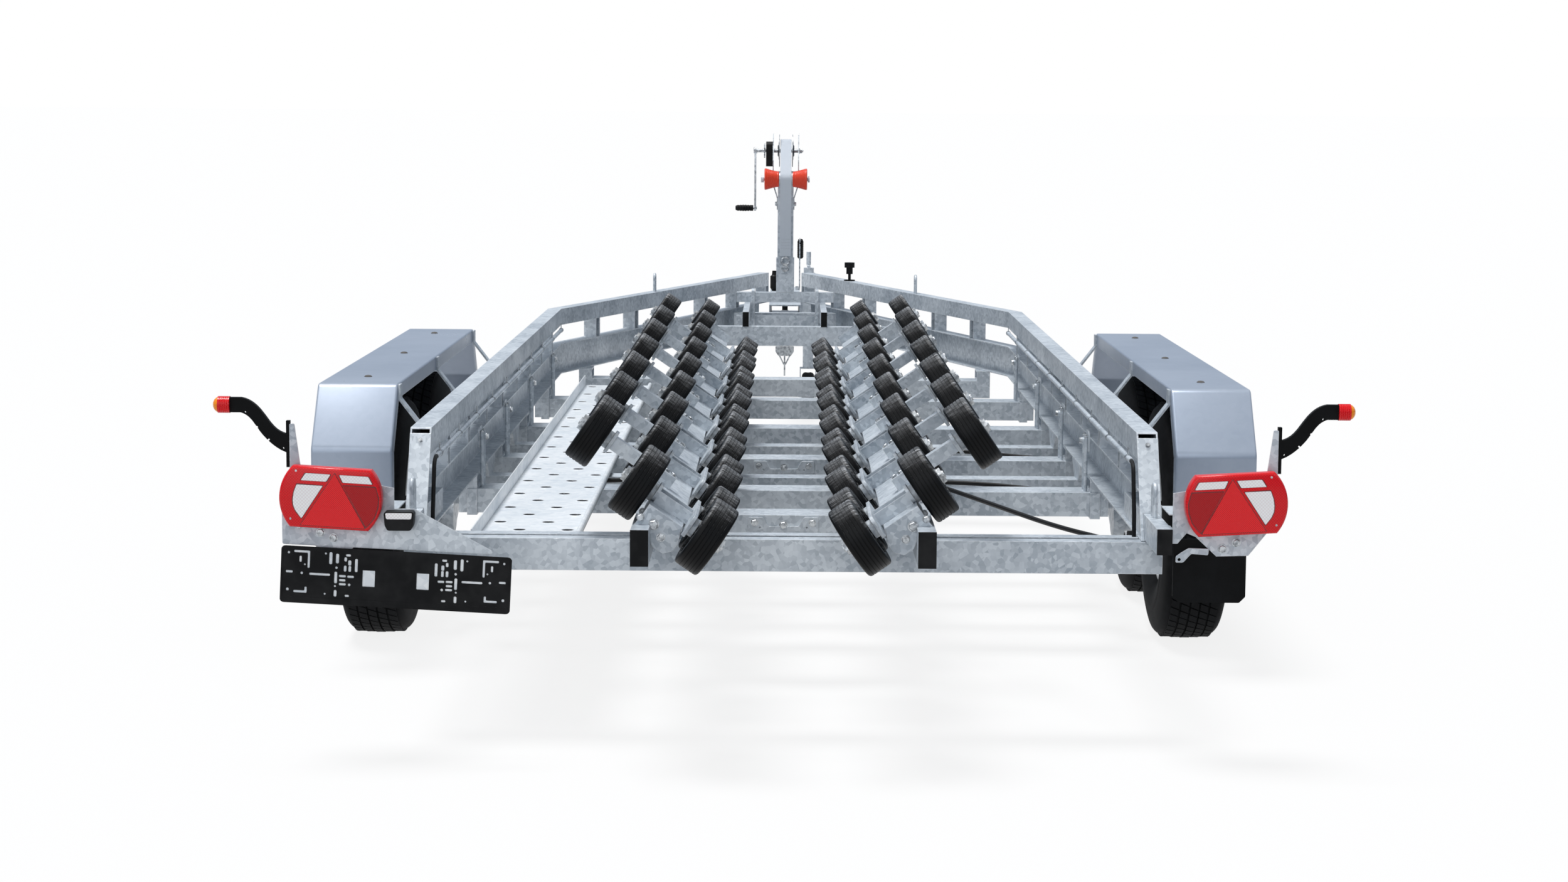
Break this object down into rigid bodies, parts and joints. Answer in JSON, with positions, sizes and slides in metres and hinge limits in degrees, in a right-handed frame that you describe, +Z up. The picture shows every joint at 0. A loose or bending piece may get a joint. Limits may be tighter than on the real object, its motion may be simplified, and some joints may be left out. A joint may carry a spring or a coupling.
{
  "type": "tandem-axle multi-roller boat trailer",
  "caption": "Galvanised boat trailer on four wheels with sloping rows of hull rollers, a winch post and a jockey wheel.",
  "frame": {"origin": "on the ground, at the middle of the trailer's width and length", "axes": "+Y forwards to the coupling, +X to the right as seen from behind, +Z up"},
  "size_m": [2.566, 8.3108, 1.357],
  "materials": {
    "galvanised_steel": "hot-dip galvanised, matt",
    "walkway_sheet": "galvanised sheet, satin",
    "plated_steel": "zinc plated, bright",
    "coupling_steel": "satin",
    "rim_steel": "satin silver",
    "tyre_rubber": "matt",
    "roller_rubber": "matt with fine ribs",
    "jockey_rubber": "matt",
    "flap_rubber": "matt",
    "bow_roller_plastic": "orange-red",
    "strap_webbing": "woven webbing",
    "tail_light": "red lens",
    "marker_light": "two-colour lens",
    "plate_surface": "bare",
    "black_plastic": "matt"
  },
  "bodies": {
    "trailer": {"axle_front": "galvanised_steel", "axle_rear": "galvanised_steel", "axle_seats": "galvanised_steel", "beam_fittings": "galvanised_steel", "cables": "black_plastic", "clamp_knob": "black_plastic", "coupling_head": "coupling_steel", "coupling_housing": "coupling_steel", "cradle_channels": "galvanised_steel", "crossmembers": "galvanised_steel", "drawbar": "galvanised_steel", "end_caps": "black_plastic", "front_crossmembers": "galvanised_steel", "front_leg_left": "galvanised_steel", "front_leg_right": "galvanised_steel", "gaiter": "black_plastic", "gear_cover": "black_plastic", "handbrake_lever": "plated_steel", "inner_rollers": "roller_rubber", "jockey_outer_tube": "galvanised_steel", "lashing_loops": "galvanised_steel", "light_brackets": "galvanised_steel", "light_carriers": "galvanised_steel", "marker_arms": "flap_rubber", "marker_lamps": "marker_light", "middle_rollers": "roller_rubber", "mud_flaps": "flap_rubber", "mudguard_stays": "galvanised_steel", "mudguards": "walkway_sheet", "outer_rollers": "roller_rubber", "parked_plug": "black_plastic", "plate_holder": "plate_surface", "plate_lamp": "black_plastic", "rear_crossbeam": "galvanised_steel", "roller_arms": "galvanised_steel", "roller_beams": "galvanised_steel", "side_beam_left": "galvanised_steel", "side_beam_right": "galvanised_steel", "strap_hook": "plated_steel", "tail_lights": "tail_light", "walkway": "walkway_sheet", "winch_carriage": "galvanised_steel", "winch_frame": "plated_steel", "winch_post": "galvanised_steel", "winch_rails": "galvanised_steel", "winch_strap": "strap_webbing"},
    "wheel_front_left": {"tyre_front_left": "tyre_rubber", "rim_front_left": "rim_steel"},
    "wheel_front_right": {"tyre_front_right": "tyre_rubber", "rim_front_right": "rim_steel"},
    "wheel_rear_left": {"tyre_rear_left": "tyre_rubber", "rim_rear_left": "rim_steel"},
    "wheel_rear_right": {"tyre_rear_right": "tyre_rubber", "rim_rear_right": "rim_steel"},
    "jockey_tube": {"jockey_inner_tube": "galvanised_steel"},
    "jockey_swivel": {"jockey_fork": "galvanised_steel"},
    "jockey_roll": {"jockey_wheel": "jockey_rubber"},
    "drum": {"winch_drum": "plated_steel"},
    "crank": {"winch_crank": "plated_steel"},
    "bow_rollers": {"bow_roller": "bow_roller_plastic"}
  },
  "joints": [
    {"name": "front_left_spin", "type": "hinge", "parent": "trailer", "child": "wheel_front_left", "pos_m": [-1.128, -1.5835, 0.333], "axis": [1, 0, 0], "continuous": true},
    {"name": "front_right_spin", "type": "hinge", "parent": "trailer", "child": "wheel_front_right", "pos_m": [1.128, -1.5835, 0.333], "axis": [1, 0, 0], "continuous": true},
    {"name": "rear_left_spin", "type": "hinge", "parent": "trailer", "child": "wheel_rear_left", "pos_m": [-1.128, -2.3435, 0.333], "axis": [1, 0, 0], "continuous": true},
    {"name": "rear_right_spin", "type": "hinge", "parent": "trailer", "child": "wheel_rear_right", "pos_m": [1.128, -2.3435, 0.333], "axis": [1, 0, 0], "continuous": true},
    {"name": "jockey_lift", "type": "slide", "parent": "trailer", "child": "jockey_tube", "axis": [0, 0, 1], "range_m": [0, 0.15]},
    {"name": "jockey_turn", "type": "hinge", "parent": "jockey_tube", "child": "jockey_swivel", "pos_m": [0.112, 3.3065, 0.25], "axis": [0, 0, 1], "continuous": true},
    {"name": "jockey_spin", "type": "hinge", "parent": "jockey_swivel", "child": "jockey_roll", "pos_m": [0.112, 3.2615, 0.11], "axis": [1, 0, 0], "continuous": true},
    {"name": "drum_turn", "type": "hinge", "parent": "trailer", "child": "drum", "pos_m": [0, 2.1865, 1.283], "axis": [1, 0, 0], "continuous": true},
    {"name": "crank_turn", "type": "hinge", "parent": "trailer", "child": "crank", "pos_m": [0, 2.2485, 1.283], "axis": [1, 0, 0], "continuous": true},
    {"name": "bow_roller_spin", "type": "hinge", "parent": "trailer", "child": "bow_rollers", "pos_m": [0, 2.0065, 1.165], "axis": [1, 0, 0], "continuous": true}
  ],
  "couplings": [
    {"joint": "crank_turn", "follows": "drum_turn", "ratio": -5.1667}
  ]
}
